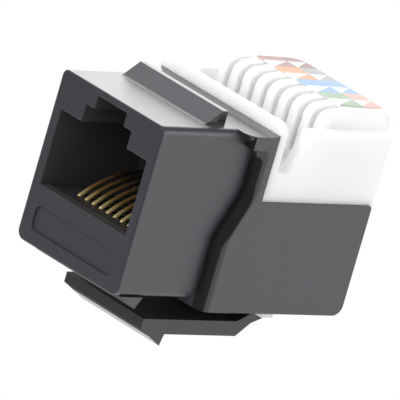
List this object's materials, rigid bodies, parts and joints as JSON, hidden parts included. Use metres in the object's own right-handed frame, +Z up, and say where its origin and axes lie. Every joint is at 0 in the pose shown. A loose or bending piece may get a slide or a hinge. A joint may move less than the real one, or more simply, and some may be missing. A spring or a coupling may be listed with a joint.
{
  "type": "keystone jack",
  "caption": "Snap-in keystone jack: a black housing with a modular plug port in front, a sprung latch below and a white punch-down wire block behind.",
  "frame": {"origin": "centre of the plug port, in the plane of the face", "axes": "+X across the face, to the right seen from the front; +Y from the face to the rear; +Z up, towards the fixed catch ridge"},
  "size_m": [0.0172, 0.0273, 0.0234],
  "materials": {
    "black_plastic": "satin",
    "carrier_plastic": "satin",
    "board_laminate": "satin",
    "white_plastic": "satin",
    "label_film": "matte",
    "gold_wire": "polished",
    "plated_bronze": "satin"
  },
  "bodies": {
    "jack": {"housing": "black_plastic", "contact_carrier": "carrier_plastic", "circuit_board": "board_laminate", "idc_block": "white_plastic", "wiring_label": "label_film", "contact_wire_1": "gold_wire", "contact_wire_2": "gold_wire", "contact_wire_3": "gold_wire", "contact_wire_4": "gold_wire", "contact_wire_5": "gold_wire", "contact_wire_6": "gold_wire", "contact_wire_7": "gold_wire", "contact_wire_8": "gold_wire", "idc_contact_1": "plated_bronze", "idc_contact_2": "plated_bronze", "idc_contact_3": "plated_bronze", "idc_contact_4": "plated_bronze", "idc_contact_5": "plated_bronze", "idc_contact_6": "plated_bronze", "idc_contact_7": "plated_bronze", "idc_contact_8": "plated_bronze"},
    "latch": {"latch_arm": "black_plastic"}
  },
  "joints": [
    {"name": "latch_flex", "type": "hinge", "parent": "jack", "child": "latch", "pos_m": [0, 0.01915, -0.01005], "axis": [-1, 0, 0], "range_deg": [0, 9], "stiffness_Nm_per_rad": 0.2}
  ]
}
